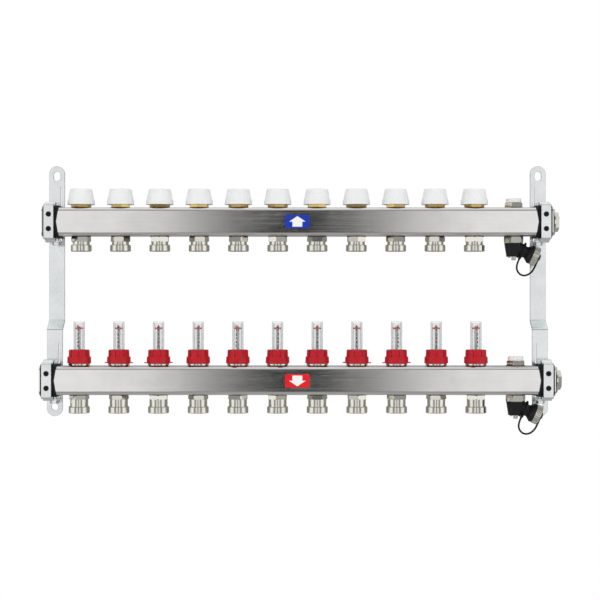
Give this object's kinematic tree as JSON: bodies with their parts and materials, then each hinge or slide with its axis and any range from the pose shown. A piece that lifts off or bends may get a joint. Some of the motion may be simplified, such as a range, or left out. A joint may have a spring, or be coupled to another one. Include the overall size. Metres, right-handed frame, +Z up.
{
  "type": "underfloor heating manifold",
  "caption": "Wall-hung underfloor heating manifold: return bar with capped valves above a supply bar with red flow meters, on two zinc brackets, with vents and drain cocks",
  "frame": {"origin": "on the wall, midway between the two upper fixing slots", "axes": "+X along the bars to the drain end, +Y into the wall, +Z up"},
  "size_m": [0.6545, 0.0648, 0.342],
  "materials": {
    "stainless": "brushed along the bar",
    "zinc": "bright zinc plate with a faint blue cast",
    "black_rubber": "matt moulded rubber",
    "brass": "turned brass",
    "steel_pin": "ground steel",
    "nickel": "satin nickel plate",
    "clear_plastic": "clear moulded tube",
    "label_film": "printed film",
    "black_plastic": "fine grained moulding",
    "pale_plastic": "smooth moulding",
    "white_plastic": "smooth moulding",
    "red_plastic": "smooth moulding",
    "indicator": "red disc on a dark rod"
  },
  "bodies": {
    "manifold": {"return_bar": "stainless", "supply_bar": "stainless", "left_bracket": "zinc", "right_bracket": "zinc", "clamp_straps": "zinc", "rubber_liners": "black_rubber", "clamp_bolts": "zinc", "valve_inserts": "brass", "valve_stems": "steel_pin", "pipe_nipples": "nickel", "flow_meter_bodies": "nickel", "sight_glasses": "clear_plastic", "vent_bodies": "nickel", "drain_nuts": "nickel", "end_plugs": "nickel", "arrow_labels": "label_film", "seal_rings": "black_rubber"},
    "return_spout": {"drain_spout_return": "black_plastic", "tether_return": "black_plastic"},
    "return_hose_cap": {"hose_cap_return": "nickel"},
    "return_spindle": {"drain_spindle_return": "steel_pin"},
    "return_vent": {"vent_knob_return": "pale_plastic"},
    "supply_spout": {"drain_spout_supply": "black_plastic", "tether_supply": "black_plastic"},
    "supply_hose_cap": {"hose_cap_supply": "nickel"},
    "supply_spindle": {"drain_spindle_supply": "steel_pin"},
    "supply_vent": {"vent_knob_supply": "pale_plastic"},
    "cap_01": {"return_cap_01": "white_plastic"},
    "cap_02": {"return_cap_02": "white_plastic"},
    "cap_03": {"return_cap_03": "white_plastic"},
    "cap_04": {"return_cap_04": "white_plastic"},
    "cap_05": {"return_cap_05": "white_plastic"},
    "cap_06": {"return_cap_06": "white_plastic"},
    "cap_07": {"return_cap_07": "white_plastic"},
    "cap_08": {"return_cap_08": "white_plastic"},
    "cap_09": {"return_cap_09": "white_plastic"},
    "cap_10": {"return_cap_10": "white_plastic"},
    "cap_11": {"return_cap_11": "white_plastic"},
    "knob_01": {"flow_knob_01": "red_plastic"},
    "knob_02": {"flow_knob_02": "red_plastic"},
    "knob_03": {"flow_knob_03": "red_plastic"},
    "knob_04": {"flow_knob_04": "red_plastic"},
    "knob_05": {"flow_knob_05": "red_plastic"},
    "knob_06": {"flow_knob_06": "red_plastic"},
    "knob_07": {"flow_knob_07": "red_plastic"},
    "knob_08": {"flow_knob_08": "red_plastic"},
    "knob_09": {"flow_knob_09": "red_plastic"},
    "knob_10": {"flow_knob_10": "red_plastic"},
    "knob_11": {"flow_knob_11": "red_plastic"},
    "indicator_01": {"flow_indicator_01": "indicator"},
    "indicator_02": {"flow_indicator_02": "indicator"},
    "indicator_03": {"flow_indicator_03": "indicator"},
    "indicator_04": {"flow_indicator_04": "indicator"},
    "indicator_05": {"flow_indicator_05": "indicator"},
    "indicator_06": {"flow_indicator_06": "indicator"},
    "indicator_07": {"flow_indicator_07": "indicator"},
    "indicator_08": {"flow_indicator_08": "indicator"},
    "indicator_09": {"flow_indicator_09": "indicator"},
    "indicator_10": {"flow_indicator_10": "indicator"},
    "indicator_11": {"flow_indicator_11": "indicator"}
  },
  "joints": [
    {"name": "return_spout_swivel", "type": "hinge", "parent": "manifold", "child": "return_spout", "pos_m": [0.275, -0.0235, -0.092], "axis": [0, 0, 1], "range_deg": [-190, 10]},
    {"name": "return_hose_cap_turn", "type": "hinge", "parent": "return_spout", "child": "return_hose_cap", "pos_m": [0.30087, -0.0235, -0.10272], "axis": [0.9239, 0, -0.3827], "range_deg": [0, 990]},
    {"name": "return_spindle_turn", "type": "hinge", "parent": "manifold", "child": "return_spindle", "pos_m": [0.275, -0.0235, -0.1], "axis": [0, 0, 1], "range_deg": [0, 90]},
    {"name": "return_vent_turn", "type": "hinge", "parent": "manifold", "child": "return_vent", "pos_m": [0.275, -0.0235, -0.034], "axis": [0, 0, 1], "range_deg": [0, 270]},
    {"name": "supply_spout_swivel", "type": "hinge", "parent": "manifold", "child": "supply_spout", "pos_m": [0.275, -0.0415, -0.292], "axis": [0, 0, 1], "range_deg": [-190, 10]},
    {"name": "supply_hose_cap_turn", "type": "hinge", "parent": "supply_spout", "child": "supply_hose_cap", "pos_m": [0.30087, -0.0415, -0.30272], "axis": [0.9239, 0, -0.3827], "range_deg": [0, 990]},
    {"name": "supply_spindle_turn", "type": "hinge", "parent": "manifold", "child": "supply_spindle", "pos_m": [0.275, -0.0415, -0.3], "axis": [0, 0, 1], "range_deg": [0, 90]},
    {"name": "supply_vent_turn", "type": "hinge", "parent": "manifold", "child": "supply_vent", "pos_m": [0.275, -0.0415, -0.234], "axis": [0, 0, 1], "range_deg": [0, 270]},
    {"name": "return_cap_01_turn", "type": "hinge", "parent": "manifold", "child": "cap_01", "pos_m": [-0.275, -0.0235, -0.03], "axis": [0, 0, 1], "range_deg": [-990, 0]},
    {"name": "return_cap_02_turn", "type": "hinge", "parent": "manifold", "child": "cap_02", "pos_m": [-0.225, -0.0235, -0.03], "axis": [0, 0, 1], "range_deg": [-990, 0]},
    {"name": "return_cap_03_turn", "type": "hinge", "parent": "manifold", "child": "cap_03", "pos_m": [-0.175, -0.0235, -0.03], "axis": [0, 0, 1], "range_deg": [-990, 0]},
    {"name": "return_cap_04_turn", "type": "hinge", "parent": "manifold", "child": "cap_04", "pos_m": [-0.125, -0.0235, -0.03], "axis": [0, 0, 1], "range_deg": [-990, 0]},
    {"name": "return_cap_05_turn", "type": "hinge", "parent": "manifold", "child": "cap_05", "pos_m": [-0.075, -0.0235, -0.03], "axis": [0, 0, 1], "range_deg": [-990, 0]},
    {"name": "return_cap_06_turn", "type": "hinge", "parent": "manifold", "child": "cap_06", "pos_m": [-0.025, -0.0235, -0.03], "axis": [0, 0, 1], "range_deg": [-990, 0]},
    {"name": "return_cap_07_turn", "type": "hinge", "parent": "manifold", "child": "cap_07", "pos_m": [0.025, -0.0235, -0.03], "axis": [0, 0, 1], "range_deg": [-990, 0]},
    {"name": "return_cap_08_turn", "type": "hinge", "parent": "manifold", "child": "cap_08", "pos_m": [0.075, -0.0235, -0.03], "axis": [0, 0, 1], "range_deg": [-990, 0]},
    {"name": "return_cap_09_turn", "type": "hinge", "parent": "manifold", "child": "cap_09", "pos_m": [0.125, -0.0235, -0.03], "axis": [0, 0, 1], "range_deg": [-990, 0]},
    {"name": "return_cap_10_turn", "type": "hinge", "parent": "manifold", "child": "cap_10", "pos_m": [0.175, -0.0235, -0.03], "axis": [0, 0, 1], "range_deg": [-990, 0]},
    {"name": "return_cap_11_turn", "type": "hinge", "parent": "manifold", "child": "cap_11", "pos_m": [0.225, -0.0235, -0.03], "axis": [0, 0, 1], "range_deg": [-990, 0]},
    {"name": "flow_knob_01_turn", "type": "hinge", "parent": "manifold", "child": "knob_01", "pos_m": [-0.275, -0.0415, -0.23], "axis": [0, 0, 1], "range_deg": [-990, 0]},
    {"name": "flow_knob_02_turn", "type": "hinge", "parent": "manifold", "child": "knob_02", "pos_m": [-0.225, -0.0415, -0.23], "axis": [0, 0, 1], "range_deg": [-990, 0]},
    {"name": "flow_knob_03_turn", "type": "hinge", "parent": "manifold", "child": "knob_03", "pos_m": [-0.175, -0.0415, -0.23], "axis": [0, 0, 1], "range_deg": [-990, 0]},
    {"name": "flow_knob_04_turn", "type": "hinge", "parent": "manifold", "child": "knob_04", "pos_m": [-0.125, -0.0415, -0.23], "axis": [0, 0, 1], "range_deg": [-990, 0]},
    {"name": "flow_knob_05_turn", "type": "hinge", "parent": "manifold", "child": "knob_05", "pos_m": [-0.075, -0.0415, -0.23], "axis": [0, 0, 1], "range_deg": [-990, 0]},
    {"name": "flow_knob_06_turn", "type": "hinge", "parent": "manifold", "child": "knob_06", "pos_m": [-0.025, -0.0415, -0.23], "axis": [0, 0, 1], "range_deg": [-990, 0]},
    {"name": "flow_knob_07_turn", "type": "hinge", "parent": "manifold", "child": "knob_07", "pos_m": [0.025, -0.0415, -0.23], "axis": [0, 0, 1], "range_deg": [-990, 0]},
    {"name": "flow_knob_08_turn", "type": "hinge", "parent": "manifold", "child": "knob_08", "pos_m": [0.075, -0.0415, -0.23], "axis": [0, 0, 1], "range_deg": [-990, 0]},
    {"name": "flow_knob_09_turn", "type": "hinge", "parent": "manifold", "child": "knob_09", "pos_m": [0.125, -0.0415, -0.23], "axis": [0, 0, 1], "range_deg": [-990, 0]},
    {"name": "flow_knob_10_turn", "type": "hinge", "parent": "manifold", "child": "knob_10", "pos_m": [0.175, -0.0415, -0.23], "axis": [0, 0, 1], "range_deg": [-990, 0]},
    {"name": "flow_knob_11_turn", "type": "hinge", "parent": "manifold", "child": "knob_11", "pos_m": [0.225, -0.0415, -0.23], "axis": [0, 0, 1], "range_deg": [-990, 0]},
    {"name": "flow_indicator_01_slide", "type": "slide", "parent": "manifold", "child": "indicator_01", "axis": [0, 0, 1], "range_m": [-0.024, 0], "stiffness_N_per_m": 20, "springref_m": 0.006},
    {"name": "flow_indicator_02_slide", "type": "slide", "parent": "manifold", "child": "indicator_02", "axis": [0, 0, 1], "range_m": [-0.024, 0], "stiffness_N_per_m": 20, "springref_m": 0.006},
    {"name": "flow_indicator_03_slide", "type": "slide", "parent": "manifold", "child": "indicator_03", "axis": [0, 0, 1], "range_m": [-0.024, 0], "stiffness_N_per_m": 20, "springref_m": 0.006},
    {"name": "flow_indicator_04_slide", "type": "slide", "parent": "manifold", "child": "indicator_04", "axis": [0, 0, 1], "range_m": [-0.024, 0], "stiffness_N_per_m": 20, "springref_m": 0.006},
    {"name": "flow_indicator_05_slide", "type": "slide", "parent": "manifold", "child": "indicator_05", "axis": [0, 0, 1], "range_m": [-0.024, 0], "stiffness_N_per_m": 20, "springref_m": 0.006},
    {"name": "flow_indicator_06_slide", "type": "slide", "parent": "manifold", "child": "indicator_06", "axis": [0, 0, 1], "range_m": [-0.024, 0], "stiffness_N_per_m": 20, "springref_m": 0.006},
    {"name": "flow_indicator_07_slide", "type": "slide", "parent": "manifold", "child": "indicator_07", "axis": [0, 0, 1], "range_m": [-0.024, 0], "stiffness_N_per_m": 20, "springref_m": 0.006},
    {"name": "flow_indicator_08_slide", "type": "slide", "parent": "manifold", "child": "indicator_08", "axis": [0, 0, 1], "range_m": [-0.024, 0], "stiffness_N_per_m": 20, "springref_m": 0.006},
    {"name": "flow_indicator_09_slide", "type": "slide", "parent": "manifold", "child": "indicator_09", "axis": [0, 0, 1], "range_m": [-0.024, 0], "stiffness_N_per_m": 20, "springref_m": 0.006},
    {"name": "flow_indicator_10_slide", "type": "slide", "parent": "manifold", "child": "indicator_10", "axis": [0, 0, 1], "range_m": [-0.024, 0], "stiffness_N_per_m": 20, "springref_m": 0.006},
    {"name": "flow_indicator_11_slide", "type": "slide", "parent": "manifold", "child": "indicator_11", "axis": [0, 0, 1], "range_m": [-0.024, 0], "stiffness_N_per_m": 20, "springref_m": 0.006}
  ]
}
